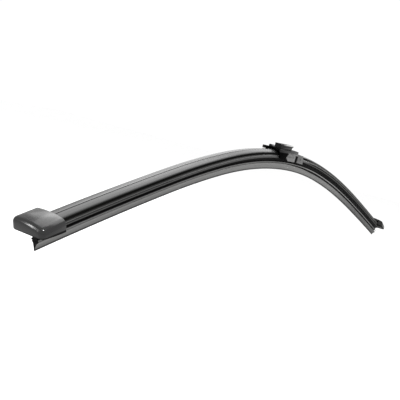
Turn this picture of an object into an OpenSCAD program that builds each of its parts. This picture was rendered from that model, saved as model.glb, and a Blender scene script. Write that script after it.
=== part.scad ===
// Flat wiper blade: a curved beam of two spring strips that carries a rubber wiping element, two lengths
// of spoiler, two end caps and a connector that rocks on a cross pin. All lengths are in millimetres.
// A station is a distance along the wiping lip from the middle of the blade. A height is measured from
// the lip at right angles to it.

/* [Blade] */
// Length of the wiping lip
blade_len = 500; // [460:5:560]
// Radius of the middle of the blade
mid_radius = 420; // [380:5:520]
// Radius of the first stretch left of the middle
left_radius_1 = 400; // [380:10:600]
// Radius of the second stretch left of the middle
left_radius_2 = 740; // [600:10:1200]
// Radius of the left end
left_radius_3 = 2400; // [1800:50:5000]
// Radius of the first stretch right of the middle
right_radius_1 = 720; // [500:10:1000]
// Radius of the second stretch right of the middle
right_radius_2 = 1330; // [900:10:2000]
// Radius of the right end
right_radius_3 = 4300; // [3000:50:9000]
// Length of each stretch of one radius, and of each half of the middle one
stretch_len = 50; // [40:1:60]
// Distance between the stations where a curved member is shaped
ring_step = 9; // [6:1:14]

/* [Wiping element] */
// Half thickness of the lip
lip_half = 0.35; // [0.3:0.05:0.5]
// Height of the parallel part of the lip
lip_h = 1.2; // [0.8:0.1:1.6]
// Height of the wedge's shoulder
shoulder_h = 3.85; // [3.4:0.05:4]
// Half width of the wedge at its shoulder
shoulder_half = 2.35; // [1.9:0.05:2.6]
// Half thickness of the neck that lets the wedge flip over
neck_half = 0.45; // [0.35:0.05:0.7]
// Height of the flange above the neck
flange_h = 4.95; // [4.6:0.05:5.2]
// Half width of that flange
flange_half = 2.5; // [2:0.05:2.8]
// Half width of the core between the flange and the strips
core_half = 1.45; // [1.2:0.05:1.8]
// Half width of the head that holds the strips
head_half = 2.6; // [2.2:0.05:2.7]
// Thickness of the head's ledge under the strips
ledge_t = 0.75; // [0.6:0.05:1]
// Thickness of the head above the strips
head_t = 0.35; // [0.25:0.05:0.4]

/* [Spring strips] */
// Height of the strips' lower face
strip_h = 8.8; // [8.6:0.05:9]
// Thickness of a strip
strip_t = 0.85; // [0.7:0.05:1]
// Distance from the centre plane to a strip's outer edge
strip_half = 3.7; // [3.5:0.05:3.8]
// Half thickness of the rubber web between the strips
web_half = 0.55; // [0.4:0.05:0.7]
// Distance from the blade's end to the end of the strips
strip_inset = 0.8; // [0.5:0.1:2]

/* [Spoiler] */
// Height of the ridge
ridge_h = 13.4; // [13:0.1:15]
// Height of the roof's rear edge
eave_h = 12.95; // [12.5:0.05:13.1]
// Height of the roof's front edge, which lies lower
front_eave_h = 12; // [11.8:0.05:12.5]
// Half width of the roof
roof_half = 4.7; // [4.5:0.05:4.8]
// Rounding of the roof's rear edge
eave_round = 0.5; // [0.2:0.05:0.7]
// Half width of the flanks below the roof
flank_half = 4.2; // [4.1:0.05:4.3]
// Depth of the fine groove along the ridge
groove_d = 0.3; // [0.1:0.05:0.5]
// Half width of the widest part, the claw over the strips
claw_half = 4.7; // [4.6:0.05:4.8]
// Height of the claw's upper edge
claw_top = 10.3; // [10.1:0.05:10.4]
// Thickness of the claw's lip under the strips
claw_lip = 0.45; // [0.35:0.05:0.6]
// Depth of the groove along each claw
claw_groove = 0.35; // [0.1:0.05:0.4]
// Gap between the spoiler's roof and the head of the wiping element
roof_gap = 0.5; // [0.3:0.05:0.8]
// Distance from the blade's end to the end of the spoiler
spoiler_inset = 1.2; // [0.8:0.1:3]

/* [End caps] */
// Half width of an end cap
cap_half = 9.6; // [8:0.1:11]
// Length of an end cap
cap_len = 13.4; // [12:0.1:18]
// Distance that an end cap reaches past the lip
cap_over = 3.6; // [3:0.1:5]
// Height of a cap's lower edge
cap_bottom = 8.6; // [8.2:0.1:9]
// Height of a cap's top along its middle
cap_top = 16; // [15.4:0.1:18]
// Height of a cap's top where its rounded sides begin
cap_side_top = 14.9; // [14.6:0.1:15.2]
// Radius of the rounding along a cap's sides
cap_round = 3; // [2:0.1:3.6]
// Radius of the upright corners of a cap
cap_corner = 2.4; // [1.5:0.1:4]
// Thickness of a cap's end wall
cap_wall = 2; // [1.2:0.1:2.5]

/* [Connector] */
// Station of the connector's left end
base_left = -24; // [-28:1:-22]
// Station of the connector's right end
base_right = 8; // [6:1:14]
// Thickness of the connector's sheet steel
sheet_t = 0.9; // [0.8:0.05:1.1]
// Height of the connector's cheeks
cheek_top = 12.8; // [12.4:0.05:12.9]
// Height of the lower edge of the connector's claws
base_claw_bottom = 7; // [6.8:0.1:7.6]
// Place of the cross pin along the blade
pin_x = -12; // [-13:0.5:-11]
// Place of the cross pin above the lip
pin_z = 12.4; // [12.3:0.05:12.6]
// Radius of the cross pin
pin_r = 0.9; // [0.8:0.05:1]
// Angle between the adapter and the middle of the blade when they rest on each other
rest_tilt = 3; // [2:0.1:3.5]
// Width of the slot between the connector's claws
claw_slot = 1.8; // [1.2:0.1:2.4]
// Place of that slot along the blade
claw_slot_x = -6.4; // [-7:0.1:-5.5]
// Radius of the round dimple in each cheek
dimple_r = 1.4; // [1:0.1:1.8]
// Place of the dimple along the blade
dimple_x = 2.2; // [0:0.1:4]

/* [Adapter] */
// Half width of the adapter
adapter_half = 5.7; // [5.6:0.05:6.2]
// Thickness of the adapter's side skirts
skirt_t = 0.65; // [0.5:0.05:0.7]
// Left end of the rear lug
lug_left = -42.4; // [-44:0.2:-39]
// Top of the rear lug at its left end
lug_top = 15; // [14.6:0.1:15.2]
// Right end of the adapter's plate
adapter_right = -6.6; // [-7:0.1:-6]
// Top of the adapter's plate along its middle
plate_top = 14.8; // [14.8:0.05:15.2]
// Thickness of that plate
plate_t = 0.7; // [0.6:0.05:0.75]
// Left end of the saddle on the rear side
saddle_left = -32.9; // [-34:0.1:-32]
// Distance that the saddle reaches further left on the front side
saddle_slant = 4; // [3:0.2:5]
// Top of the saddle on the rear side
saddle_top = 16.2; // [15.6:0.1:16.4]
// Half width of the rail that the arm's clip slides over
rail_half = 2.5; // [2:0.1:3]
// Left end of the rail
rail_left = -30.6; // [-31.5:0.1:-29]
// Right end of the rail's nose
rail_right = -10; // [-10.6:0.1:-9]
// Top of the rail
rail_top = 18; // [17.6:0.1:18.6]
// Distance that the rail's nose overhangs its stem
nose_over = 2.1; // [1.5:0.1:3]
// Right end of the foot that reaches down each side
foot_right = -21; // [-22:0.1:-20]
// Height of the lower end of the foot
foot_bottom = 6.6; // [6.4:0.1:7.2]

/* [Fits] */
// Gap on each side of a strip inside the parts that grip it
strip_fit = 0.05; // [0.03:0.01:0.08]
// Gap between the connector's parts where they slide past each other
side_fit = 0.4; // [0.3:0.05:0.45]
// Gap between the adapter and the spoiler below it
seat_gap = 0.35; // [0.3:0.05:0.5]
// Gap between an end cap and the blade inside it
cap_fit = 0.15; // [0.1:0.05:0.3]
// Radial gap between the cross pin and the adapter
pin_fit = 0.05; // [0.03:0.01:0.08]

/* [Hidden] */
arc_fn = 1440;
eps = 0.01;
left_radii = [mid_radius, left_radius_1, left_radius_2, left_radius_3];
right_radii = [mid_radius, right_radius_1, right_radius_2, right_radius_3];
half_len = blade_len / 2;
strip_top = strip_h + strip_t;
head_top = strip_top + head_t;
spoiler_end = half_len - spoiler_inset;
seat_x = (rail_left + rail_right) / 2;
spoiler_gap = 0.4;
ear_wall = 0.6;
ear_thin = 0.05;
slot_in = 0.2;
slot_bridge = 1.2;
dimple_drop = 0.6;
dimple_out = 0.2;
strip_hold = 0.2;
head_gap = 0.06;
sink = 0.3;
side_drop = 0.5;
skirt_h = 2.1;
knee_h = 8.3;
notch_d = 4.3;
nose_t = 1;
lug_t = 2.4;
lug_h = 2.1;
saddle_under = 2;
clip_inset = 3;
clip_wall = 1;
clip_mouth = 0.8;
pin_head_t = 0.2;
pin_head_over = 0.4;
cheek_half = strip_half + strip_fit + sheet_t;
skirt_in = adapter_half - skirt_t;

// Place and heading of a station s > 0 on a curve that bends down: [along, up, heading in degrees]
function bend(s, radii, i = 0, a = 0, x = 0, z = 0) =
  let (last = i == len(radii) - 1,
       run = last ? s : min(s, stretch_len),
       turn = run / radii[i] * 180 / PI,
       r = radii[i],
       x1 = x + r * (sin(a + turn) - sin(a)),
       z1 = z - r * (cos(a) - cos(a + turn)))
  (last || s <= stretch_len) ? [x1, z1, a + turn] : bend(s - run, radii, i + 1, a + turn, x1, z1);

// The same for any station, with the sign of the side that it lies on
function station(s) = s < 0
  ? let (b = bend(-s, left_radii)) [-b[0], b[1], -b[2]]
  : bend(s, right_radii);

// A point of a section, given as [across, height], at a station
function on_blade(s, p) =
  let (b = station(s)) [b[0] + p[1] * sin(b[2]), p[0], b[1] + p[1] * cos(b[2])];

// A half section is mirrored to the other side, so it must start and end on the centre plane
function mirrored(half) = concat(half, [for (i = [len(half) - 2:-1:1]) [-half[i][0], half[i][1]]]);

// The rear flank, its eave and the flat roof up to the ridge, as [across, height]
function rear_roof_line() = [
  [flank_half, claw_top + 0.2],
  [flank_half, claw_top + 0.7],
  [roof_half - 0.1, eave_h - 1.4 * eave_round],
  [roof_half, eave_h - 0.8 * eave_round],
  [roof_half - 0.15 * eave_round, eave_h - 0.3 * eave_round],
  [roof_half - 0.6 * eave_round, eave_h],
  [roof_half - 1.4, eave_h + 0.4 * (ridge_h - eave_h)],
  [roof_half / 2, eave_h + 0.72 * (ridge_h - eave_h)],
  [0.3, ridge_h - 0.02]];

// The front flank, its round shoulder and the steeper roof up to the ridge
function front_roof_line() = [
  [flank_half, claw_top + 0.2],
  [flank_half, claw_top + 0.5],
  [roof_half - 0.2, front_eave_h - 0.85],
  [roof_half - 0.16, front_eave_h - 0.6],
  [roof_half - 0.36, front_eave_h - 0.26],
  [roof_half - 0.8, front_eave_h],
  [roof_half - 1.5, front_eave_h + 0.17 * (ridge_h - front_eave_h)],
  [0.3, ridge_h - 0.1]];

// A member of constant section along the blade from station s0 to s1
module along_blade(section, s0, s1) {
  steps = ceil((s1 - s0) / ring_step);
  m = len(section);
  points = [for (i = [0:steps]) for (p = section) on_blade(s0 + (s1 - s0) * i / steps, p)];
  ends = [[for (j = [0:m - 1]) j], [for (j = [m - 1:-1:0]) steps * m + j]];
  sides = [for (i = [0:steps - 1]) for (j = [0:m - 1])
    let (k = (j + 1) % m, a = i * m, b = a + m)
    each [[a + j, b + j, b + k], [a + j, b + k, a + k]]];
  polyhedron(points, concat(ends, sides));
}

// A section swept along the blade's middle stretch, as exact round faces
module along_middle(section, s0, s1) {
  a0 = s0 / mid_radius * 180 / PI;
  a1 = s1 / mid_radius * 180 / PI;
  translate([0, 0, -mid_radius]) rotate([90, 0, 0]) rotate([0, 0, 90 - a1])
    rotate_extrude(angle = a1 - a0, $fn = arc_fn) polygon([for (p = section) [mid_radius + p[1], -p[0]]]);
}

// A body drawn about the lip at a station
module at_station(s) {
  b = station(s);
  translate([b[0], 0, b[1]]) rotate([0, b[2], 0]) children();
}

// The frame's origin is the middle of the rail's top face
module in_frame() {
  translate([-seat_x, 0, -rail_top]) children();
}

// The blade rests against the adapter, turned a little about the cross pin
module blade_frame() {
  in_frame() translate([pin_x, 0, pin_z]) rotate([0, rest_tilt, 0]) translate([-pin_x, 0, -pin_z]) children();
}

// A flat shape in the blade's side view, extruded across it between y0 and y1
module side_plate(y0, y1) {
  translate([0, y1, 0]) rotate([90, 0, 0]) linear_extrude(y1 - y0) children();
}

// A flat shape in the blade's end view, extruded along it between x0 and x1
module end_plate(x0, x1) {
  translate([x0, 0, 0]) rotate([90, 0, 90]) linear_extrude(x1 - x0) children();
}

function wiper_half() = [
  [0, 0],
  [lip_half, 0],
  [lip_half + 0.05, lip_h],
  [lip_half + (shoulder_half - lip_half) * 0.16, lip_h + (shoulder_h - lip_h) * 0.28],
  [lip_half + (shoulder_half - lip_half) * 0.38, lip_h + (shoulder_h - lip_h) * 0.56],
  [lip_half + (shoulder_half - lip_half) * 0.68, lip_h + (shoulder_h - lip_h) * 0.82],
  [shoulder_half, shoulder_h],
  [shoulder_half - 0.12, shoulder_h + 0.3],
  [neck_half, shoulder_h + 0.35],
  [neck_half, flange_h],
  [flange_half, flange_h + 0.05],
  [flange_half, flange_h + 0.55],
  [core_half, flange_h + 1.3],
  [core_half, strip_h - ledge_t - 0.4],
  [head_half, strip_h - ledge_t],
  [head_half, strip_h - strip_fit],
  [web_half, strip_h - strip_fit],
  [web_half, strip_top + strip_fit],
  [head_half - 0.1, strip_top + strip_fit],
  [head_half - 0.3, head_top],
  [0, head_top + 0.02]];

module wiping_element() {
  color([0.2, 0.21, 0.22]) blade_frame() along_blade(mirrored(wiper_half()), -half_len, half_len);
}

function strip_section(side) =
  let (y0 = web_half + strip_fit, y1 = strip_half)
  side > 0
    ? [[y0, strip_h], [y1, strip_h], [y1, strip_top], [y0, strip_top]]
    : [[-y1, strip_h], [-y0, strip_h], [-y0, strip_top], [-y1, strip_top]];

module spring_strip(side) {
  end = half_len - strip_inset;
  color([0.45, 0.46, 0.48]) blade_frame() along_blade(strip_section(side), -end, end);
}

module front_spring_strip() {
  spring_strip(-1);
}

module rear_spring_strip() {
  spring_strip(1);
}

// The spoiler is one closed loop: over the roof, round both claws and back through the channel
function spoiler_section() =
  let (slot = strip_half + strip_fit,
       lip_h0 = strip_h - strip_fit,
       groove_half = claw_half - claw_groove,
       ceiling = head_top + roof_gap,
       claw = [[strip_half - 0.2, lip_h0 - claw_lip], [slot + 0.5, lip_h0 - claw_lip + 0.05],
               [claw_half - 0.1, lip_h0], [claw_half - 0.1, lip_h0 + 0.45], [groove_half, lip_h0 + 0.6],
               [groove_half, lip_h0 + 0.85], [claw_half, lip_h0 + 1], [claw_half, claw_top - 0.15]],
       inner = [[0, ceiling], [head_half, ceiling], [head_half + 0.15, strip_top + 0.5],
                [head_half + 0.35, strip_top + strip_fit], [slot, strip_top + strip_fit], [slot, lip_h0],
                [head_half + strip_hold, lip_h0], [head_half + strip_hold, lip_h0 - claw_lip]],
       across = function(line) [for (i = [len(line) - 1:-1:0]) [-line[i][0], line[i][1]]])
  concat(claw, rear_roof_line(), [[0, ridge_h - groove_d]], across(concat(claw, front_roof_line())),
         across([for (i = [1:len(inner) - 1]) inner[i]]), inner);

module spoiler(s0, s1) {
  color([0.33, 0.33, 0.34]) blade_frame() along_blade(spoiler_section(), s0, s1);
}

module long_spoiler() {
  spoiler(-spoiler_end, base_left - spoiler_gap);
}

module short_spoiler() {
  spoiler(base_right + spoiler_gap, spoiler_end);
}

// End view of a cap: a low dome with round shoulders
module cap_profile() {
  rise = cap_top - cap_side_top;
  dome_half = cap_half - cap_round;
  dome_r = (dome_half * dome_half + rise * rise) / (2 * rise);
  intersection() {
    translate([0, cap_top - dome_r]) circle(dome_r, $fn = 180);
    translate([-dome_half, cap_bottom]) square([2 * dome_half, cap_top]);
  }
  for (side = [-1, 1]) {
    translate([side * dome_half, cap_side_top - cap_round]) circle(cap_round, $fn = 48);
    translate([side > 0 ? 0 : -cap_half, cap_bottom])
      square([cap_half, cap_side_top - cap_round - cap_bottom]);
  }
}

// Plan of a cap, with round corners at its outer end
module cap_plan() {
  in = cap_over - cap_len;
  translate([in, -cap_half]) square([cap_len - cap_corner, 2 * cap_half]);
  translate([in, cap_corner - cap_half]) square([cap_len, 2 * (cap_half - cap_corner)]);
  for (side = [-1, 1])
    translate([cap_over - cap_corner, side * (cap_half - cap_corner)]) circle(cap_corner, $fn = 48);
}

// A cap in its own frame: x runs outwards from the end of the lip
module cap_body() {
  bore_half = max(claw_half, roof_half) + cap_fit;
  in = cap_over - cap_len;
  difference() {
    intersection() {
      end_plate(in, cap_over) cap_profile();
      linear_extrude(cap_top + 1) cap_plan();
    }
    translate([in - eps, -bore_half, cap_bottom - 1])
      cube([cap_over - cap_wall - in, 2 * bore_half, ridge_h + cap_fit - cap_bottom + 1]);
  }
}

module near_end_cap() {
  color([0.16, 0.16, 0.17]) blade_frame() at_station(-half_len) rotate([0, 0, 180]) cap_body();
}

module far_end_cap() {
  color([0.16, 0.16, 0.17]) blade_frame() at_station(half_len) cap_body();
}

// Half of the steel section that grips the strips: floor, cheek and folded claw, as [across, height]
function base_half() =
  let (in = cheek_half - sheet_t, claw_y = head_half + strip_hold, floor_h = head_top + head_gap,
       under = strip_h - strip_fit)
  [[0, floor_h], [claw_y, floor_h], [claw_y, strip_top], [in, strip_top], [in, under], [claw_y, under],
   [claw_y, under - sheet_t], [in, under - sheet_t], [in, base_claw_bottom],
   [cheek_half, base_claw_bottom], [cheek_half, cheek_top], [in, cheek_top],
   [in, head_top + sheet_t], [0, head_top + sheet_t]];

// Round ear that carries the pin on one cheek, a little thinner than the sheet where it is drawn out
module pin_ear(y0) {
  side_plate(y0 + ear_thin, y0 + sheet_t - ear_thin)
    translate([pin_x, pin_z]) circle(pin_r + ear_wall, $fn = 48);
}

module connector_base() {
  in = cheek_half - sheet_t;
  slot_top = cheek_top - slot_bridge;
  color([0.5, 0.5, 0.5]) blade_frame() difference() {
    union() {
      along_middle(mirrored(base_half()), base_left, base_right);
      for (side = [-1, 1]) {
        pin_ear(side > 0 ? in : -cheek_half);
        translate([dimple_x, side * (cheek_half - sink), (base_claw_bottom + cheek_top) / 2 - dimple_drop])
          rotate([-90 * side, 0, 0])
            cylinder(r1 = dimple_r, r2 = dimple_r * 0.7, h = sink + dimple_out, $fn = 48);
      }
    }
    translate([claw_slot_x - claw_slot / 2, -cheek_half - 1, base_claw_bottom - 1])
      cube([claw_slot, 2 * cheek_half + 2, strip_h - base_claw_bottom + 1]);
    for (side = [-1, 1])
      translate([claw_slot_x - claw_slot / 2, side > 0 ? in - slot_in : -cheek_half - 1, base_claw_bottom - 1])
        cube([claw_slot, sheet_t + slot_in + 1, slot_top - base_claw_bottom + 1]);
    translate([pin_x, cheek_half + 1, pin_z]) rotate([90, 0, 0])
      cylinder(r = pin_r, h = 2 * cheek_half + 2, $fn = 48);
  }
}

// Riveted at both ends, with its heads just inside the adapter's skirts
module cross_pin() {
  head = pin_head_t;
  color([0.6, 0.6, 0.6]) blade_frame() translate([pin_x, cheek_half + head, pin_z]) rotate([90, 0, 0]) {
    cylinder(r = pin_r, h = 2 * (cheek_half + head), $fn = 48);
    cylinder(r = pin_r + pin_head_over, h = head, $fn = 48);
    translate([0, 0, 2 * cheek_half + head]) cylinder(r = pin_r + pin_head_over, h = head, $fn = 48);
  }
}

// End view of a low dome between the adapter's sides
module dome_profile(half, bottom, side_top, top) {
  rise = top - side_top;
  r = (half * half + rise * rise) / (2 * rise);
  intersection() {
    translate([0, top - r]) circle(r, $fn = 180);
    translate([-half, bottom]) square([2 * half, top - bottom]);
  }
}

// Side view of a skirt: a slanted left edge, the foot and a notch behind it
module skirt_profile() {
  left = saddle_left - saddle_slant;
  side_top = plate_top - side_drop;
  low = plate_top - skirt_h;
  polygon([[left, side_top - sink], [left - 0.5, side_top - 1.3], [left + 2.2, knee_h],
           [left + 4, knee_h - 0.8], [base_left - 3.8, knee_h - 0.8], [base_left - 1.7, foot_bottom],
           [foot_right, foot_bottom + 0.2], [foot_right - notch_d, knee_h + 1.1],
           [foot_right - 1.4, low - 0.9], [foot_right - 2.6, low], [adapter_right, low],
           [adapter_right, side_top - sink]]);
}

// Side view of the lug behind the rear skirt
module lug_profile() {
  polygon([[lug_left + 0.4, lug_top - lug_h], [saddle_left + 2, lug_top - lug_h], [saddle_left + 2, lug_top - sink],
           [lug_left + 0.7, lug_top], [lug_left, lug_top - 0.6]]);
}

// Side view of the rail, whose nose is undercut
module rail_profile() {
  polygon([[rail_left, plate_top - sink], [rail_left, rail_top], [rail_right - 1.6 * nose_t, rail_top],
           [rail_right, rail_top - 0.75 * nose_t], [rail_right, rail_top - nose_t],
           [rail_right - nose_over, rail_top - 2 * nose_t], [rail_right - nose_over, plate_top - sink]]);
}

// End view of the saddle, which rises from the front skirt to the rear lug
module saddle_profile(half, bottom, front_top) {
  polygon([[-half, bottom], [half, bottom], [half, saddle_top - 0.5], [half - 0.5, saddle_top],
           [half - 1.5, saddle_top], [rail_half, front_top + 0.55 * (saddle_top - front_top)],
           [0, front_top + 0.25 * (saddle_top - front_top)], [0.6 - half, front_top], [-half, front_top - 0.4]]);
}

module arm_adapter() {
  core_half = cheek_half - sheet_t - side_fit;
  core_bottom = head_top + sheet_t + side_fit;
  core_left = base_left + clip_inset;
  core_right = pin_x + pin_r + clip_wall;
  side_top = plate_top - side_drop;
  front_left = saddle_left - saddle_slant;
  seat_r = mid_radius + ridge_h + seat_gap;
  color([0.12, 0.12, 0.12]) difference() {
    in_frame() union() {
      end_plate(rail_left, adapter_right) dome_profile(adapter_half, side_top - plate_t, side_top, plate_top);
      intersection() {
        end_plate(front_left, rail_left + saddle_under)
          saddle_profile(adapter_half, side_top - skirt_h + sink, side_top + 0.2);
        linear_extrude(rail_top)
          polygon([[front_left, -adapter_half], [rail_left + saddle_under, -adapter_half],
                   [rail_left + saddle_under, adapter_half], [saddle_left, adapter_half]]);
      }
      side_plate(-rail_half, rail_half) rail_profile();
      side_plate(adapter_half - lug_t, adapter_half) lug_profile();
      for (side = [-1, 1]) side_plate(side > 0 ? skirt_in : -adapter_half,
                                      side > 0 ? adapter_half : -skirt_in) skirt_profile();
      side_plate(-core_half, core_half)
        polygon([[core_left, core_bottom], [core_right, core_bottom], [core_right, plate_top - sink],
                 [core_left, plate_top - sink]]);
    }
    // Room for the roof of the spoiler, and for the cheeks that swing up on the right
    intersection() {
      blade_frame() translate([0, skirt_in, -mid_radius]) rotate([90, 0, 0])
        cylinder(r = seat_r, h = 2 * skirt_in, $fn = 720);
      in_frame() translate([lug_left - 1, -skirt_in, 0]) cube([core_left - lug_left + 1, 2 * skirt_in, rail_top]);
    }
    in_frame() difference() {
      translate([core_left - eps, -skirt_in, core_bottom - 1])
        cube([adapter_right - base_left, 2 * skirt_in, plate_top - plate_t - core_bottom + 1]);
      translate([core_left - 1, -core_half, 0])
        cube([core_right - core_left + 1, 2 * core_half, plate_top]);
    }
    // The clip's bore and its open mouth
    in_frame() translate([pin_x, core_half + 1, pin_z]) rotate([90, 0, 0])
      cylinder(r = pin_r + pin_fit, h = 2 * core_half + 2, $fn = 48);
    in_frame() translate([pin_x - pin_r * clip_mouth, -core_half - 1, core_bottom - 1])
      cube([2 * pin_r * clip_mouth, 2 * core_half + 2, pin_z - core_bottom + 1]);
  }
}

wiping_element();
front_spring_strip();
rear_spring_strip();
long_spoiler();
short_spoiler();
near_end_cap();
far_end_cap();
connector_base();
cross_pin();
arm_adapter();
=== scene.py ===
import math

import bmesh
import bpy
from mathutils import Matrix, Vector


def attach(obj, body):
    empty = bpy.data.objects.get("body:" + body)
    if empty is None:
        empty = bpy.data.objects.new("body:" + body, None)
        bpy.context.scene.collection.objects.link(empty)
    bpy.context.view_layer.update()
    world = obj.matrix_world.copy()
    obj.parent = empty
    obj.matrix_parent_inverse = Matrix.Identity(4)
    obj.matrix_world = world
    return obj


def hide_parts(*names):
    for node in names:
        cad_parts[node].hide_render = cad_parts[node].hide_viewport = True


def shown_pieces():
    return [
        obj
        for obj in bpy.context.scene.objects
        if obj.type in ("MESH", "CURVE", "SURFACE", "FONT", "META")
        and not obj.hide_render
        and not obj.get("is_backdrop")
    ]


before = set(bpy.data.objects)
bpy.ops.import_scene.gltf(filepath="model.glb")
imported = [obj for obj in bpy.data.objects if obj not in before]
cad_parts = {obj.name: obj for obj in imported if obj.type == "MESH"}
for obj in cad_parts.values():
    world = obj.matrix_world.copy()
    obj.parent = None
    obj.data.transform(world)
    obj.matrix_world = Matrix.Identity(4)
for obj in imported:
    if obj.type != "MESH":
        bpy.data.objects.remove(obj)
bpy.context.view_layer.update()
mm = 0.001
print("frame loaded:", len(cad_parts), "CAD nodes")

# The bent line of the wiping lip, in mm: stretches of (length, radius), outwards from station 0
bladeLine = {
    "left": [(50, 420), (50, 400), (50, 740), (150, 2400)],
    "right": [(50, 420), (50, 720), (50, 1330), (150, 4300)],
    "halfLength": 250,
    "seat": (-20.3, 18.0),  # middle of the adapter's rail, where the frame has its origin
    "pin": (-12.0, 12.4),
    "tilt": math.radians(3.0),  # of the resting blade about the pin
    "ringStep": 2.0,
    "spinSign": -1,  # mesh.spin turns against the stations
}


def halfOf(s):
    # the sign and the stretches of the half that a station lies on
    return (-1, bladeLine["left"]) if s < 0 else (1, bladeLine["right"])


def followTo(s):
    # the arc that s lies on, as (start x, start z, start heading, radius), and the place and heading at s
    side, stretches = halfOf(s)
    rest, x, z, turned = abs(s), 0.0, 0.0, 0.0
    for length, radius in stretches:
        arc = (x, z, turned, radius)
        run = min(rest, length)
        after = turned + run / radius
        x += side * radius * (math.sin(after) - math.sin(turned))
        z -= radius * (math.cos(turned) - math.cos(after))
        turned, rest = after, rest - run
        if rest <= 1e-9:
            break
    return arc, (x, z, side * turned)


def toRow(x, z):
    # from the bent line's own plane to the row frame, in mm
    (px, pz), (ox, oz), a = bladeLine["pin"], bladeLine["seat"], bladeLine["tilt"]
    return (px + (x - px) * math.cos(a) + (z - pz) * math.sin(a) - ox,
            pz - (x - px) * math.sin(a) + (z - pz) * math.cos(a) - oz)


def fromRow(x, z):
    (px, pz), (ox, oz), a = bladeLine["pin"], bladeLine["seat"], bladeLine["tilt"]
    dx, dz = x + ox - px, z + oz - pz
    return px + dx * math.cos(a) - dz * math.sin(a), pz + dx * math.sin(a) + dz * math.cos(a)


def onBlade(s, across, height):
    # a point at station s, in the row frame, in metres
    x, z, turned = followTo(s)[1]
    x, z = toRow(x + height * math.sin(turned), z + height * math.cos(turned))
    return Vector((x, across, z)) * mm


def unbend(x, z):
    # station and height, in mm, of a point of the row frame; the last stretch has no end here
    px, pz = fromRow(x / mm, z / mm)
    side, stretches = halfOf(px)
    cx, cz, turned, done = 0.0, 0.0, 0.0, 0.0
    for i, (length, radius) in enumerate(stretches):
        ox, oz = cx - radius * math.sin(turned), cz - radius * math.cos(turned)
        angle = math.atan2(abs(px) - ox, pz - oz)
        end = turned + length / radius
        if angle <= end or i == len(stretches) - 1:
            height = math.hypot(abs(px) - ox, pz - oz) - radius
            return side * (done + (angle - turned) * radius), height
        cx += radius * (math.sin(end) - math.sin(turned))
        cz -= radius * (math.cos(turned) - math.cos(end))
        turned, done = end, done + length


def roundOff(points, steps=4, mostOfSide=0.48):
    # points are (across, height, radius); each corner becomes an arc of that radius
    out = []
    for i, (y, h, radius) in enumerate(points):
        here = Vector((y, h))
        before = Vector(points[i - 1][:2]) - here
        after = Vector(points[(i + 1) % len(points)][:2]) - here
        if radius <= 0:
            out.append(here)
            continue
        half = before.angle(after) / 2
        reach = min(radius / math.tan(half), before.length * mostOfSide, after.length * mostOfSide)
        a, b = here + before.normalized() * reach, here + after.normalized() * reach
        for k in range(steps + 1):
            t = k / steps
            out.append(a * (1 - t) ** 2 + here * 2 * t * (1 - t) + b * t ** 2)
    return [(p.x, p.y) for p in out]


def flipped(line):
    # the same points on the other side of the centre plane, in the opposite order
    return [(-y, h, r) for y, h, r in reversed(line)]


def clearSelection():
    if bpy.context.object and bpy.context.object.mode != "OBJECT":
        bpy.ops.object.mode_set(mode="OBJECT")
    bpy.ops.object.select_all(action="DESELECT")


def pickPiece(piece):
    clearSelection()
    piece.select_set(True)
    bpy.context.view_layer.objects.active = piece


def pickVertices(indices):
    # in edit mode, selects only these vertices
    bpy.ops.mesh.select_mode(type="VERT")
    bpy.ops.mesh.select_all(action="DESELECT")
    mesh = bmesh.from_edit_mesh(bpy.context.object.data)
    mesh.verts.ensure_lookup_table()
    for i in indices:
        mesh.verts[i].select = True
    mesh.select_flush(True)
    bmesh.update_edit_mesh(bpy.context.object.data)


def pickEdges(chosen):
    # in edit mode, selects the edges whose two ends, in mm, pass the test
    bpy.ops.mesh.select_mode(type="EDGE")
    bpy.ops.mesh.select_all(action="DESELECT")
    mesh = bmesh.from_edit_mesh(bpy.context.object.data)
    for edge in mesh.edges:
        edge.select = chosen(*(v.co / mm for v in edge.verts))
    bmesh.update_edit_mesh(bpy.context.object.data)


def bevelEdges(width, segments):
    bpy.ops.mesh.bevel(offset=width * mm, segments=segments, affect="EDGES", clamp_overlap=True)


def drawOutline(name, points):
    # one vertex, extruded from point to point, as a closed wire
    clearSelection()
    bpy.ops.mesh.primitive_plane_add(size=mm, location=points[0])
    piece = bpy.context.object
    piece.name = piece.data.name = name
    bpy.ops.object.transform_apply(location=True, rotation=False, scale=False)
    bpy.ops.object.mode_set(mode="EDIT")
    bpy.ops.mesh.select_mode(type="VERT")
    bpy.ops.mesh.select_all(action="SELECT")
    bpy.ops.mesh.merge(type="CENTER")
    for here, there in zip(points, points[1:]):
        bpy.ops.mesh.extrude_region_move(TRANSFORM_OT_translate={"value": there - here})
    pickVertices([0, len(points) - 1])
    bpy.ops.mesh.edge_face_add()
    return piece


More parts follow.
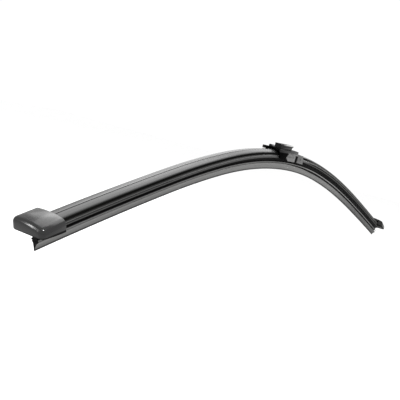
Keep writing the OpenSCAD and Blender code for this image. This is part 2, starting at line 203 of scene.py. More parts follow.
def sweepSection(name, section, s0, s1):
    # draws the section at s0 and spins it round each arc's centre up to s1
    piece = drawOutline(name, [onBlade(s0, y, h) for y, h in section])
    bpy.ops.mesh.select_all(action="SELECT")
    joins = []
    for end, sign in (("left", -1), ("right", 1)):
        total = 0
        for length, radius in bladeLine[end][:-1]:
            total += length
            joins.append(sign * total)
    marks = [s0] + sorted(m for m in joins if s0 < m < s1) + [s1]
    for a, b in zip(marks, marks[1:]):
        middle = (a + b) / 2
        startX, startZ, turned, radius = followTo(middle)[0]
        x, z = toRow(startX - halfOf(middle)[0] * radius * math.sin(turned),
                     startZ - radius * math.cos(turned))
        bpy.ops.mesh.spin(steps=max(1, round((b - a) / bladeLine["ringStep"])), dupli=False,
                          angle=bladeLine["spinSign"] * (b - a) / radius, use_auto_merge=False,
                          center=Vector((x, 0, z)) * mm, axis=(0, 1, 0))
    count, total = len(section), len(bmesh.from_edit_mesh(piece.data).verts)
    for ring in (range(count), range(total - count, total)):
        pickVertices(ring)
        bpy.ops.mesh.edge_face_add()
    bpy.ops.mesh.select_all(action="SELECT")
    bpy.ops.mesh.normals_make_consistent(inside=False)
    bpy.ops.object.mode_set(mode="OBJECT")
    return piece


def straighten(piece):
    # keeps each vertex's station, place across and height, in mm, for patterns that follow the bend
    values = []
    for v in piece.data.vertices:
        s, h = unbend(v.co.x, v.co.z)
        values += [s, v.co.y / mm, h]
    layer = piece.data.attributes.new("straight", "FLOAT_VECTOR", "POINT")
    layer.data.foreach_set("vector", values)


def finishPiece(piece, material, body, node, smoothTo=32):
    pickPiece(piece)
    bpy.ops.object.shade_smooth_by_angle(angle=math.radians(smoothTo))
    if "straight" not in piece.data.attributes:
        straighten(piece)
    piece.data.materials.clear()
    piece.data.materials.append(material)
    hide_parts(node)
    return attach(piece, body)


class Wire:
    # one socket of a material's node tree, with the arithmetic that the finishes use
    def __init__(self, kit, socket):
        self.kit, self.socket = kit, socket

    def maths(self, operation, *others, clamp=False):
        values = dict(enumerate((self,) + others))
        return self.kit.node("ShaderNodeMath", {"operation": operation, "use_clamp": clamp}, values)

    def __add__(self, other):
        return self.maths("ADD", other)

    def __sub__(self, other):
        return self.maths("SUBTRACT", other)

    def __mul__(self, other):
        return self.maths("MULTIPLY", other)

    def __truediv__(self, other):
        return self.maths("DIVIDE", other)

    def __radd__(self, other):
        return self.maths("ADD", other)

    def __rmul__(self, other):
        return self.maths("MULTIPLY", other)

    def __rsub__(self, other):
        return (self * -1.0) + other

    def __abs__(self):
        return self.maths("ABSOLUTE")

    def clip(self):
        return self.maths("ADD", 0.0, clamp=True)


class Finish:
    # one material; its own sockets get the settings that are the same all over
    def __init__(self, name, base, **settings):
        self.material = bpy.data.materials.new(name)
        self.material.use_nodes = True
        self.tree = self.material.node_tree
        self.shader = self.tree.nodes["Principled BSDF"]
        self.material.diffuse_color = (*base, 1)
        sockets = {"specular": "Specular IOR Level", "ior": "IOR", "coatRough": "Coat Roughness",
                   "roughness": "Roughness", "metallic": "Metallic"}
        for key, value in settings.items():
            self.shader.inputs[sockets[key]].default_value = value

    def node(self, kind, settings=None, values=None, out=0):
        made = self.tree.nodes.new(kind)
        for key, value in (settings or {}).items():
            setattr(made, key, value)
        for key, value in (values or {}).items():
            if isinstance(value, Wire):
                self.tree.links.new(value.socket, made.inputs[key])
            else:
                made.inputs[key].default_value = value
        return Wire(self, made.outputs[out])

    def straight(self):
        # station, place across and height, in mm
        return self.node("ShaderNodeAttribute",
                         {"attribute_name": "straight", "attribute_type": "GEOMETRY"}, out="Vector")

    def place(self):
        return self.node("ShaderNodeTexCoord", out="Object")

    def split(self, vector):
        first = self.node("ShaderNodeSeparateXYZ", values={0: vector})
        return [Wire(self, first.socket.node.outputs[i]) for i in range(3)]

    def noise(self, vector, stretch, detail):
        scaled = self.node("ShaderNodeVectorMath", {"operation": "MULTIPLY"}, {0: vector, 1: stretch})
        return self.node("ShaderNodeTexNoise", {"noise_dimensions": "3D"},
                         {"Vector": scaled, "Scale": 1.0, "Detail": detail, "Roughness": 0.5})

    def mixColour(self, factor, first, second):
        first, second = (c if isinstance(c, Wire) else (*c, 1) for c in (first, second))
        return self.node("ShaderNodeMix", {"data_type": "RGBA"}, {0: factor, 6: first, 7: second}, out=2)

    def bump(self, height, strength, distance):
        return self.node("ShaderNodeBump",
                         values={"Height": height, "Strength": strength, "Distance": distance})

    def feed(self, **links):
        names = {"colour": "Base Color", "roughness": "Roughness", "normal": "Normal", "coat": "Coat Weight"}
        for key, wire in links.items():
            self.tree.links.new(wire.socket, self.shader.inputs[names[key]])
        return self.material


def band(value, centre, reach):
    # 1 on the line at centre, falling to 0 at reach beside it
    return (1.0 - abs(value - centre) / reach).clip()


def above(value, start, run):
    # 0 up to start, and from there rising to 1 over run
    return ((value - start) / run).clip()


def below(value, start, run):
    # 0 down to start, and from there rising to 1 over run
    return ((start - value) / run).clip()


# bands are (height of the middle, reach), and masks along the blade are (station, run), all in mm
spoilerLook = {
    "dark": (0.002, 0.002, 0.0019), "light": (0.006, 0.006, 0.0058), "highlightTone": (0.12, 0.12, 0.117),
    "roughness": 0.42, "specular": 0.05, "ior": 1.08, "coatRough": 0.26, "coat": 0.77,
    "streaks": (0.012, 1.1, 1.1), "grain": (3.0, 5.0, 5.0), "cloud": (0.03, 0.2, 0.2),
    "roof": (11.9, 0.667), "claws": (9.75, 1.3), "groove": (9.62, 0.34), "grooveDrop": 0.35,
    "grooveFades": {"middle": -60.0, "half": 85.0, "run": 15.0},
    "upperHighlightLine": (9.85, 0.62), "lowerHighlightLine": (8.95, 0.5), "paintedHighlights": 0.6,
    "farHalf": (15.0, 20.0), "farGroove": (9.4, 0.75), "farHighlightLine": (8.7, 0.5), "farRoofHighlight": (10.0, 0.667),
    "ribs": (1.5, 2.5, 3.5), "ribReach": 0.22,  # fine ribs along the rear of the roof, placed across it
}


def makeSpoilerPlastic():
    look = spoilerLook
    kit = Finish("spoilerPlastic", look["dark"], specular=look["specular"], ior=look["ior"],
                 coatRough=look["coatRough"])
    straight = kit.straight()
    s, y, h = kit.split(straight)
    streaks = kit.noise(straight, look["streaks"], 1.0)
    grain = kit.noise(straight, look["grain"], 3.0)
    cloud = kit.noise(straight, look["cloud"], 2.0)
    farHalf = above(s, *look["farHalf"])
    fades = look["grooveFades"]
    outwards = above(abs(s - fades["middle"]), fades["half"], fades["run"])
    grooveAt, grooveReach = look["groove"]
    grooveAt = grooveAt - above(s, 0.0, 40.0) * look["grooveDrop"]
    groove = (band(h, grooveAt, grooveReach) * 0.9 * outwards
              + band(h, *look["farGroove"]) * farHalf * 1.3).clip()
    # painted highlights: pale lines along the claws' upper and lower edges, broken by the groove, and on the
    # far half another line and the roof painted paler
    paintedHighlights = (band(h, *look["upperHighlightLine"]) + band(h, *look["lowerHighlightLine"]) * 0.6 - groove).clip()
    paintedHighlights = (paintedHighlights + band(h, *look["farHighlightLine"]) * farHalf).clip() * look["paintedHighlights"]
    farRoofHighlight = farHalf * above(h, *look["farRoofHighlight"]) * look["paintedHighlights"]
    colour = kit.mixColour((streaks * 0.6 + cloud * 0.5).clip(), look["dark"], look["light"])
    colour = kit.mixColour((paintedHighlights + farRoofHighlight).clip(), colour, look["highlightTone"])
    ribs = sum((band(y, across, look["ribReach"]) for across in look["ribs"]), start=0.0)
    glossy = (above(h, *look["roof"]) + (band(h, *look["claws"]) - groove).clip()).clip()
    return kit.feed(colour=colour, roughness=look["roughness"] + streaks * 0.12 + grain * 0.05,
                    coat=(glossy * (look["coat"] + streaks * 0.3) - ribs * 0.3).clip(),
                    normal=kit.bump(streaks * 0.2 + grain * 0.05 - ribs * 0.5, 0.5, 0.0001))


rubberLook = {
    "dark": (0.14, 0.14, 0.138), "light": (0.225, 0.225, 0.222), "black": (0.004, 0.004, 0.004),
    "edge": (0.4, 0.4, 0.395), "roughness": 0.53, "specular": 0.18, "ior": 1.2,
    "streaks": (0.02, 1.6, 1.6), "specks": (4.0, 6.0, 6.0),
    "lip": (1.1, 0.714), "nearLip": (3.4, 3.4), "farLip": (3.0, 3.0),
    "shadedFrom": (5.45, 0.333), "neck": (4.5, 0.8), "neckHalf": 2.15, "neckHalfFar": 0.35,
    "flangeHighlight": (5.25, 0.36), "nearEnd": (-60.0, 120.0), "farEnd": (80.0, 90.0), "farHalf": (10.0, 20.0),
    "cutEnd": (249.9, 0.02),
}


def makeWipingRubber():
    look = rubberLook
    kit = Finish("wipingRubber", look["dark"], specular=look["specular"], ior=look["ior"])
    straight = kit.straight()
    s, y, h = kit.split(straight)
    streaks = kit.noise(straight, look["streaks"], 3.0)
    specks = kit.noise(straight, look["specks"], 2.0)
    farHalf = above(s, *look["farHalf"])
    # painted shade: darker towards the lip all along, on the lower part towards the near end, and all over
    # towards the far end
    lip = (below(h, *look["lip"]) + below(s, *look["nearEnd"]) * below(h, *look["nearLip"]) * 0.5
           + above(s, *look["farEnd"]) * (0.6 + below(h, *look["farLip"]) * 0.3)).clip()
    # painted shade: black above the flange up into the recess under the claws, and in the neck under the
    # flange; the cut ends are black as well
    neck = below(abs(y), look["neckHalf"] + farHalf * look["neckHalfFar"], 0.25)
    shadeAndCutEnds = above(h, *look["shadedFrom"]) + neck * (band(h, *look["neck"]) * 1.6).clip()
    shadeAndCutEnds = shadeAndCutEnds + above(abs(s), *look["cutEnd"])
    colour = kit.mixColour((streaks * 0.9 + specks * 0.3 - 0.2).clip(), look["dark"], look["light"])
    colour = kit.mixColour((lip * 0.8 + shadeAndCutEnds).clip(), colour, look["black"])
    # painted highlight: a pale line along the flange's edge on the far half
    colour = kit.mixColour(band(h, *look["flangeHighlight"]) * farHalf * 0.7, colour, look["edge"])
    return kit.feed(colour=colour, roughness=look["roughness"] + streaks * 0.14 - lip * 0.08,
                    normal=kit.bump(streaks * 0.4 + specks * 0.2, 0.4, 0.00008))


steelLook = {
    "springSteel": {"dark": (0.003, 0.003, 0.003), "light": (0.007, 0.007, 0.007), "roughness": 0.5,
                    "metallic": 0.0, "specular": 0.1, "ior": 1.1, "grain": (200.0, 200.0, 200.0)},
    "connectorSteel": {"dark": (0.1, 0.1, 0.099), "light": (0.17, 0.17, 0.168), "roughness": 0.4,
                       "metallic": 0.2, "specular": 0.5, "ior": 1.5, "grain": (60.0, 2600.0, 2600.0)},
    "pinSteel": {"dark": (0.14, 0.14, 0.14), "light": (0.2, 0.2, 0.2), "roughness": 0.4,
                 "metallic": 0.6, "specular": 0.5, "ior": 1.5, "grain": (60.0, 2600.0, 2600.0)},
}

# painted shade on the connector base: between the cheeks, in the crease, in the dimple and towards the claws
cheekLook = {
    "black": (0.004, 0.004, 0.004), "inside": 4.2, "crease": (10.0, 0.45), "creaseTo": -8.6,
    "dimple": (2.2, 9.95), "dimpleArea": 1.4, "clawsFrom": (-4.6, 0.333), "claws": 0.35,
}


def makeSteel(name):
    look = steelLook[name]
    kit = Finish(name, look["dark"], metallic=look["metallic"], specular=look["specular"], ior=look["ior"])
    place = kit.place()
    brushed = kit.noise(place, look["grain"], 3.0)
    stain = kit.noise(place, (180.0, 180.0, 180.0), 3.0)
    colour = kit.mixColour((brushed * 0.7 + stain * 0.3).clip(), look["dark"], look["light"])
    height = brushed
    if name == "connectorSteel":
        # painted shade: dark between the cheeks, in the pressed crease, in the round dimple and on the base
        # from the claws' station on; the crease is also pressed in by the bump
        cheek = cheekLook
        s, y, h = kit.split(kit.straight())
        crease = band(h, *cheek["crease"]) * below(s, cheek["creaseTo"], 0.25)
        aside, up = s - cheek["dimple"][0], h - cheek["dimple"][1]
        dimple = (1.0 - (aside * aside + up * up) / cheek["dimpleArea"]).clip()
        shade = (below(abs(y), cheek["inside"], 0.167) + crease * 0.75 + dimple * 0.5
                 + above(s, *cheek["clawsFrom"]) * cheek["claws"]).clip()
        colour = kit.mixColour(shade, colour, cheek["black"])
        height = brushed - crease * 2.0
    return kit.feed(colour=colour, roughness=look["roughness"] + brushed * 0.12 + stain * 0.1,
                    normal=kit.bump(height, 0.25, 0.00004))


mouldedLook = {
    "capPlastic": {"dark": (0.005, 0.005, 0.005), "light": (0.01, 0.01, 0.01), "roughness": 0.25,
                   "specular": 0.06, "ior": 1.08, "coatRough": 0.18},
    "adapterPlastic": {"dark": (0.001, 0.001, 0.001), "light": (0.004, 0.004, 0.004), "roughness": 0.3,
                       "specular": 0.06, "ior": 1.08},
}

capGloss = {"from": (9.5, 0.5), "coat": 0.75}

adapterLook = {
    "glossAt": [(-1.4, 2.4, 0.35), (-4.7, 1.1, 0.5)],  # height, reach and weight of the glossy bands
    "glintBand": (-0.55, 0.75), "glintFrom": (-7.0, 4.0), "paintedGlint": (0.24, 0.24, 0.237),
}


def makeMoulded(name):
    look = mouldedLook[name]
    sockets = {key: look[key] for key in ("specular", "ior", "coatRough") if key in look}
    kit = Finish(name, look["dark"], **sockets)
    place = kit.place()
    grain = kit.noise(place, (2600.0, 2600.0, 2600.0), 2.0)
    cloud = kit.noise(place, (120.0, 120.0, 120.0), 3.0)
    colour = kit.mixColour((cloud * 0.8 + grain * 0.2).clip(), look["dark"], look["light"])
    if name == "capPlastic":
        kit.feed(coat=above(kit.split(kit.straight())[2], *capGloss["from"]) * capGloss["coat"])
    else:
        x, y, z = (wire * (1 / mm) for wire in kit.split(place))
        gloss = sum(((band(z, height, reach) * 2.0).clip() * weight
                     for height, reach, weight in adapterLook["glossAt"]), start=0.0)
        kit.feed(coat=gloss.clip())
        # painted highlight: the rail's upper edge is painted pale
        paintedGlint = band(z, *adapterLook["glintBand"]) * above(x, *adapterLook["glintFrom"])
        colour = kit.mixColour((paintedGlint * 1.5).clip(), colour, adapterLook["paintedGlint"])
    return kit.feed(colour=colour, roughness=look["roughness"] + cloud * 0.1 + grain * 0.05,
                    normal=kit.bump(grain, 0.25, 0.00005))


def makeFloor():
    kit = Finish("paleFloor", (0.96, 0.96, 0.96), specular=0.1, roughness=0.9)
    soft = kit.noise(kit.place(), (3.0, 3.0, 3.0), 2.0)
    return kit.feed(colour=kit.mixColour(soft, (0.95, 0.95, 0.95), (0.97, 0.97, 0.97)))


spoilerPlastic, wipingRubber = makeSpoilerPlastic(), makeWipingRubber()
springSteel, connectorSteel, pinSteel = (makeSteel(n) for n in ("springSteel", "connectorSteel", "pinSteel"))
capPlastic, adapterPlastic = makeMoulded("capPlastic"), makeMoulded("adapterPlastic")
print("finishes made")

wiper = {
    "lipHalf": 0.35, "lipTop": 1.2, "shoulderHalf": 2.35, "shoulder": 3.85, "neckHalf": 0.45,
    "flange": 4.95, "flangeHalf": 2.5, "coreHalf": 1.45, "headHalf": 2.6, "ledge": 8.05, "stripSeat": 8.75,
    "stripTop": 9.7, "webHalf": 0.55, "headTop": 10.0, "curveSteps": 7,
    "neckClose": 0.5, "neckOpen": 0.55, "neckTurn": 6, "neckRun": 25,  # the wedge's lean, in mm
    "endTrim": 0.75, "trimFrom": -232, "trimRun": 14, "trimBelow": 6.5,
}


def wiperSection():
    w = wiper
    foot = w["lipHalf"] + 0.05
    half = [(0, 0, 0), (w["lipHalf"], 0, 0.04), (foot, w["lipTop"], 0)]
    rise, reach = w["shoulder"] - 0.08 - w["lipTop"], w["shoulderHalf"] - foot
    for k in range(1, w["curveSteps"] + 1):
        t = k / w["curveSteps"]
        half.append((foot + reach * (0.35 * t + 0.65 * t ** 2.6), w["lipTop"] + rise * t, 0))
    half += [
        (w["shoulderHalf"] - 0.02, w["shoulder"] + 0.3, 0.12), (w["neckHalf"], w["shoulder"] + 0.38, 0.12),
        (w["neckHalf"], w["flange"] - 0.02, 0.12), (w["flangeHalf"], w["flange"] + 0.05, 0.1),
        (w["flangeHalf"], w["flange"] + 0.55, 0.12), (w["coreHalf"], w["flange"] + 1.3, 0.3),
        (w["coreHalf"], w["ledge"] - 0.4, 0.2), (w["headHalf"], w["ledge"], 0.1),
        (w["headHalf"], w["stripSeat"], 0.05), (w["webHalf"], w["stripSeat"], 0),
        (w["webHalf"], w["stripTop"], 0), (w["headHalf"] - 0.1, w["stripTop"], 0.05),
        (w["headHalf"] - 0.3, w["headTop"], 0.1), (0, w["headTop"] + 0.02, 0)]
    return roundOff(half + flipped(half[1:-1]), 3)


def share(value):
    return min(1.0, max(0.0, value))


def leanNeck(piece):
    # the wedge rests under the flange on the near half and hangs clear of it on the far half, and the near
    # end's rear side is trimmed; each shift takes its weights from the straight places
    w = wiper
    straighten(piece)

    def leaning(sign):
        return lambda s, y, h: (share(sign * (w["neckTurn"] - s) / w["neckRun"])
                                * share((h - w["lipTop"]) / 1.6) if h < w["shoulder"] + 0.45 else 0)

    def trimmed(s, y, h):
        return share((w["trimFrom"] - s) / w["trimRun"]) * share((y - 0.6) / 1.5) if h < w["trimBelow"] else 0

    shifts = {"close": ("Z", w["neckClose"], leaning(1)), "open": ("Z", -w["neckOpen"], leaning(-1)),
              "narrow": ("Y", -w["endTrim"], trimmed)}
    for name, (direction, strength, weightAt) in shifts.items():
        group = piece.vertex_groups.new(name=name)
        for v, place in zip(piece.data.vertices, piece.data.attributes["straight"].data):
            weight = weightAt(*place.vector)
            if weight > 0:
                group.add([v.index], weight, "REPLACE")
        shift = piece.modifiers.new(name, "DISPLACE")
        shift.direction, shift.vertex_group, shift.mid_level = direction, name, 0
        shift.strength = strength * mm
    pickPiece(piece)
    for name in shifts:
        bpy.ops.object.modifier_apply(modifier=name)
    piece.vertex_groups.clear()


rubberPiece = sweepSection("wiper_rubber", wiperSection(), -bladeLine["halfLength"], bladeLine["halfLength"])
leanNeck(rubberPiece)
finishPiece(rubberPiece, wipingRubber, "blade", "wiping_element")
print("wiping element made")

spoiler = {
    "ridge": 13.4, "eave": 12.95, "frontEave": 12.0, "roofHalf": 4.7, "groove": 0.45, "grooveHalf": 0.3,
    "clawHalf": 4.7, "clawTop": 10.3, "clawLip": 8.3, "clawGroove": 0.22, "flankHalf": 4.2,
    "stripHalf": 3.7, "seat": 8.75, "ceiling": 10.5, "headHalf": 2.6,
    "endInset": 1.2, "baseLeft": -24.4, "baseRight": 6.6,  # stations of the ends by the connector
}


def spoilerSection():
    p = spoiler

    def outer(rear):
        # from the claw's lower edge up to the groove along the ridge
        inGroove = p["clawHalf"] - p["clawGroove"]
        line = [
            (p["stripHalf"] - 0.2, p["clawLip"], 0.05), (p["clawHalf"] - 0.45, p["clawLip"] + 0.05, 0.14),
            (p["clawHalf"] - 0.12, p["seat"], 0.25), (p["clawHalf"] - 0.06, p["seat"] + 0.4, 0.12),
            (inGroove, p["seat"] + 0.72, 0.05), (inGroove, p["seat"] + 0.95, 0.05),
            (p["clawHalf"] - 0.04, p["seat"] + 1.08, 0.12), (p["clawHalf"], p["clawTop"] - 0.28, 0.4),
            (p["flankHalf"] + 0.1, p["clawTop"] + 0.22, 0.3), (p["flankHalf"], p["clawTop"] + 0.32, 0.08)]
        if rear:
            line += [
                (p["flankHalf"], p["clawTop"] + 0.7, 0.4), (p["roofHalf"] - 0.05, p["eave"] - 0.65, 0.3),
                (p["roofHalf"], p["eave"] - 0.2, 0.2), (p["roofHalf"] - 0.3, p["eave"], 0.25),
                (p["roofHalf"] - 1.4, 13.13, 0.9), (p["roofHalf"] / 2, 13.274, 0.9)]
        else:
            line += [
                (p["flankHalf"], p["clawTop"] + 0.5, 0.2),
                (p["roofHalf"] - 0.18, p["frontEave"] - 0.85, 0.25),
                (p["roofHalf"] - 0.35, p["frontEave"] - 0.3, 0.9),
                (p["roofHalf"] - 1.2, p["frontEave"] + 0.3, 1.4),
                (p["roofHalf"] - 2.8, p["frontEave"] + 0.85, 1.8)]
        return line + [(p["grooveHalf"], p["ridge"] - (0.02 if rear else 0.1), 0.05)]

    inner = [
        (0, p["ceiling"], 0), (p["headHalf"], p["ceiling"], 0.1), (2.75, 10.15, 0.1), (2.95, 9.7, 0),
        (3.75, 9.7, 0), (3.75, p["seat"], 0), (2.8, p["seat"], 0), (2.8, p["clawLip"], 0)]
    ridge = [(0, p["ridge"] - p["groove"], 0.04)]
    return roundOff(outer(True) + ridge + flipped(outer(False)) + flipped(inner[1:]) + inner)


for name, first, last, node in (
        ("long_spoiler_shell", spoiler["endInset"] - 250, spoiler["baseLeft"], "long_spoiler"),
        ("short_spoiler_shell", spoiler["baseRight"], 250 - spoiler["endInset"], "short_spoiler")):
    shell = sweepSection(name, spoilerSection(), first, last)
    finishPiece(shell, spoilerPlastic, "blade", node)
print("spoilers made")

cap = {
    "half": 9.6, "length": 13.9, "over": 4.1,  # over: how far it reaches past the blade's end
    "bottom": 8.6, "rearTop": 15.25, "rearRound": 2.6, "frontTop": 14.7, "frontRound": 3.0,
    "bulge": 0.55, "domeSteps": 10, "roundSteps": 6, "wall": 2.5, "boreHalf": 4.85, "boreTop": 13.55,
    "endTurn": 4.0, "endDrop": 0.15, "endLift": 0.5,
    "endRound": (2.4, 7), "lowRound": (0.7, 3), "mouthRound": (0.22, 2),  # widths and segments
}


def capOutline(front):
    # from the rear's lower corner over the dome to the front's; front is the sign of the front side
    c = cap
    rearHalf, frontHalf = c["half"] - c["rearRound"], c["half"] - c["frontRound"]
    corner = [math.radians(90 * k / c["roundSteps"]) for k in range(c["roundSteps"] + 1)]
    points = [(c["half"], c["bottom"])]
    for a in corner:
        points.append((rearHalf + c["rearRound"] * math.cos(a),
                       c["rearTop"] - c["rearRound"] * (1 - math.sin(a))))
    for k in range(1, 2 * c["domeSteps"]):
        t = k / (2 * c["domeSteps"])
        points.append((rearHalf - (rearHalf + frontHalf) * t,
                       c["rearTop"] + (c["frontTop"] - c["rearTop"]) * t + c["bulge"] * 4 * t * (1 - t)))
    for a in reversed(corner):
        points.append((-frontHalf - c["frontRound"] * math.cos(a),
                       c["frontTop"] - c["frontRound"] * (1 - math.sin(a))))
    points.append((-c["half"], c["bottom"]))
    return [(-front * y, h) for y, h in points]


def cutAway(piece, cutter):
    cutting = piece.modifiers.new("cut", "BOOLEAN")
    cutting.operation, cutting.solver, cutting.object = "DIFFERENCE", "EXACT", cutter
    pickPiece(piece)
    bpy.ops.object.modifier_apply(modifier="cut")
    bpy.data.objects.remove(cutter)


def boxBetween(low, high):
    low, high = Vector(low) * mm, Vector(high) * mm
    clearSelection()
    bpy.ops.mesh.primitive_cube_add(size=1, location=(low + high) / 2, scale=high - low)
    bpy.ops.object.transform_apply(location=True, rotation=True, scale=True)
    return bpy.context.object


def makeCap(name, station, node):
    # modelled with the blade's end at x = 0 and the outer end towards +x, then set on its station
    c = cap
    mouth = c["over"] - c["length"]
    front = 1 if station < 0 else -1
    piece = drawOutline(name, [Vector((mouth, y, h)) * mm for y, h in capOutline(front)])
    bpy.ops.mesh.select_all(action="SELECT")
    bpy.ops.mesh.edge_face_add()
    bpy.ops.mesh.extrude_region_move(TRANSFORM_OT_translate={"value": (c["length"] * mm, 0, 0)})
    # at the outer end the top leans down to the front, and the lower edge rises a little
    outer = [v for v in bmesh.from_edit_mesh(piece.data).verts if v.co.x / mm > c["over"] - 0.01]
    lower = [v.index for v in outer if v.co.z / mm < c["bottom"] + 0.01]
    pickVertices([v.index for v in outer if v.index not in lower])
    pivot = Vector((c["over"], -front * (c["half"] - c["rearRound"]), c["rearTop"])) * mm
    bpy.ops.transform.rotate(value=front * math.radians(c["endTurn"]), orient_axis="X", center_override=pivot)
    bpy.ops.transform.translate(value=(0, 0, -c["endDrop"] * mm))
    pickVertices(lower)
    bpy.ops.transform.translate(value=(0, 0, c["endLift"] * mm))
    bpy.ops.mesh.select_all(action="SELECT")
    bpy.ops.mesh.normals_make_consistent(inside=False)
    # the outer end is rounded over its top and down both corners, and the mouth has a fine edge
    pickEdges(lambda a, b: min(a.x, b.x) > c["over"] - 0.01 and max(a.z, b.z) > c["bottom"] + 1)
    bevelEdges(*c["endRound"])
    pickEdges(lambda a, b: max(a.z, b.z) < c["bottom"] + c["endLift"] + 0.01 and min(a.x, b.x) > mouth + 0.5)
    bevelEdges(*c["lowRound"])
    pickEdges(lambda a, b: max(a.x, b.x) < mouth + 0.01 and max(a.z, b.z) > c["bottom"] + 0.1)
    bevelEdges(*c["mouthRound"])
    bpy.ops.object.mode_set(mode="OBJECT")
    cutAway(piece, boxBetween((mouth - 1, -c["boreHalf"], c["bottom"] - 1),
                              (c["over"] - c["wall"], c["boreHalf"], c["boreTop"])))
    x, z, turned = followTo(station)[1]
    turn = Matrix.Rotation(turned + bladeLine["tilt"], 4, "Y")
    if station < 0:
        turn = turn @ Matrix.Rotation(math.pi, 4, "Z")
    x, z = toRow(x, z)
    piece.data.transform(Matrix.Translation(Vector((x, 0, z)) * mm) @ turn)
    return finishPiece(piece, capPlastic, "blade", node)


makeCap("near_cap_shell", -bladeLine["halfLength"], "near_end_cap")
makeCap("far_cap_shell", bladeLine["halfLength"], "far_end_cap")
print("end caps made")

# solid: the piece's name, finish, body, slot and the width of its broken edges, in mm
softened = {
    "connector_base": ("base_sheet", connectorSteel, "blade", "connector_steel", 0.12),
    "cross_pin": ("pin_body", pinSteel, "blade", "pin_steel", 0.1),
    "arm_adapter": ("adapter_body", adapterPlastic, "adapter", "adapter_plastic", 0.35),
}
# the connector's cross faces that move: x from the bent line's middle, shift along the blade, and margin
connectorShifts = [(-5.5, 2.7, 0.05), (8.4, -1.9, 0.25)]
railChamfer = {"height": 0.0, "width": 1.0, "frontOf": -1.5, "longerThan": 5.0}


def shiftAlong(at, shift, margin):
    mesh = bmesh.from_edit_mesh(bpy.context.object.data)
    face = [v.index for v in mesh.verts if abs(fromRow(v.co.x / mm, v.co.z / mm)[0] - at) < margin
            and abs(v.co.y) / mm > 1]
    pickVertices(face)
    a = bladeLine["tilt"]
    bpy.ops.transform.translate(value=(shift * math.cos(a) * mm, 0, -shift * math.sin(a) * mm))
    print("connector vertices moved:", len(face), "of", len(mesh.verts))


def chamferRail():
    # along the upper front edges of the adapter's rail
    c = railChamfer
    pickEdges(lambda a, b: abs(a.z - c["height"]) < 0.05 and abs(b.z - c["height"]) < 0.05
              and max(a.y, b.y) < c["frontOf"] and abs(a.x - b.x) > c["longerThan"])
    bevelEdges(c["width"], 1)


def softenCopy(node, name, material, body, slot, width):
    # a copy of the solid with its triangles merged and its edges broken
    piece = bpy.data.objects.new(name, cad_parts[node].data.copy())
    piece.data.name = name
    bpy.context.scene.collection.objects.link(piece)
    pickPiece(piece)
    bpy.ops.object.mode_set(mode="EDIT")
    bpy.ops.mesh.select_all(action="SELECT")
    bpy.ops.mesh.remove_doubles(threshold=0.004 * mm)
    bpy.ops.mesh.dissolve_limited(angle_limit=math.radians(0.6))
    if node == "connector_base":
        for shift in connectorShifts:
            shiftAlong(*shift)
    if node == "arm_adapter":
        chamferRail()
    bpy.ops.object.mode_set(mode="OBJECT")
    edge = piece.modifiers.new("edge", "BEVEL")
    edge.width, edge.segments, edge.limit_method = width * mm, 2, "ANGLE"
    edge.angle_limit = math.radians(35)
    edge.use_clamp_overlap = True
    bpy.ops.object.modifier_apply(modifier="edge")
    return finishPiece(piece, material, body, node)


for node, dressing in softened.items():
    softenCopy(node, *dressing)
for node in ("front_spring_strip", "rear_spring_strip"):
    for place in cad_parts[node].material_slots:
        place.material = springSteel
print("connector, pin, adapter and strips made")

studio = {
    "floorSize": 6.0, "floorDrop": 0.15, "world": (1.0, 1.0, 1.0), "worldStrength": 1.04,
    "lens": 62.66, "azimuth": -59.765, "elevation": 7.555, "roll": 13.261,
    "aim": (-96.515, 0, -40.793), "distance": 407.23,  # in mm
    "lights": [
        # name, place, aim, size, radiance
        ("window", (1.3, 0.5, 0.55), (-0.1, 0, -0.03), (1.6, 0.6), 0.9),
        ("skylight", (0.68, 0.22, 1.23), (-0.15, 0, -0.03), (1.6, 1.0), 2.6),
        ("rearFill", (0.65, 0.756, 0.776), (-0.19, 0, -0.05), (0.6, 0.4), 1.7),
        ("edgeGlint", (0.909, -0.026, 0.415), (0.0, 0, 0.0), (0.3, 0.2), 3.2),
    ],
    "nearLights": [
        # name, lit point as (station, across, height), direction, distance, size, radiance, spread
        ("endStreak", (-253.5, 1.5, 14.5), (-0.78, 0.5, 0.36), 0.3, (0.035, 0.2), 1.4, 40),
        ("cornerSpark", (-253.0, -9.0, 13.0), (-0.17, -0.36, 0.9), 0.26, (0.06, 0.06), 0.9, 14),
    ],
}

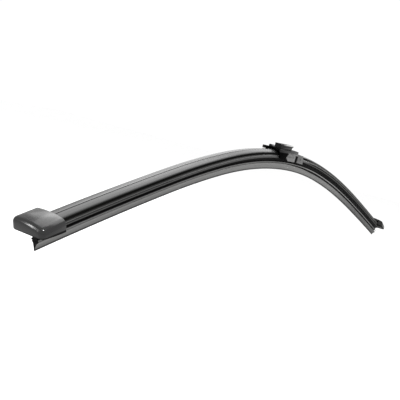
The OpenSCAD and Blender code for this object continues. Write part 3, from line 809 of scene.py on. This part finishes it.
lowest = min(v.co.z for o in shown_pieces() for v in o.data.vertices) - studio["floorDrop"]
clearSelection()
bpy.ops.mesh.primitive_plane_add(size=studio["floorSize"], location=(0, 0, lowest))
floor = bpy.context.object
floor.name = "floor"
bpy.ops.object.transform_apply(location=True, rotation=False, scale=False)
floor.data.materials.append(makeFloor())
floor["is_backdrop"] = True

world = bpy.context.scene.world or bpy.data.worlds.new("studio")
bpy.context.scene.world = world
world.use_nodes = True
back = world.node_tree.nodes["Background"]
back.inputs["Color"].default_value = (*studio["world"], 1)
back.inputs["Strength"].default_value = studio["worldStrength"]


def hangLamp(name, place, aim, size, radiance, spread=180):
    lamp = bpy.data.lights.new(name, "AREA")
    lamp.shape, lamp.size, lamp.size_y = "RECTANGLE", size[0], size[1]
    lamp.energy = radiance * math.pi * size[0] * size[1]
    lamp.spread = math.radians(spread)
    holder = bpy.data.objects.new(name, lamp)
    bpy.context.scene.collection.objects.link(holder)
    holder.location = place
    holder.rotation_euler = (Vector(aim) - Vector(place)).to_track_quat("-Z", "Y").to_euler()


for entry in studio["lights"]:
    hangLamp(*entry)
for name, point, way, reach, size, radiance, spread in studio["nearLights"]:
    lit = onBlade(*point)
    hangLamp(name, lit + Vector(way).normalized() * reach, lit, size, radiance, spread)


def placeCamera():
    a, e, r = (math.radians(studio[k]) for k in ("azimuth", "elevation", "roll"))
    back = Vector((math.sin(a) * math.cos(e), -math.cos(a) * math.cos(e), math.sin(e)))
    level = Vector((math.cos(a), math.sin(a), 0))
    rise = back.cross(level)
    right = level * math.cos(r) + rise * math.sin(r)
    up = rise * math.cos(r) - level * math.sin(r)
    lens = bpy.data.cameras.new("camera")
    lens.lens, lens.sensor_width = studio["lens"], 36
    lens.clip_start, lens.clip_end = 0.01, 20
    camera = bpy.data.objects.new("camera", lens)
    bpy.context.scene.collection.objects.link(camera)
    turn = Matrix((right, up, back)).transposed().to_4x4()
    place = (Vector(studio["aim"]) + back * studio["distance"]) * mm
    camera.matrix_world = Matrix.Translation(place) @ turn
    bpy.context.scene.camera = camera


placeCamera()
bpy.context.scene.view_settings.view_transform = "Standard"
print("floor, light and camera placed")
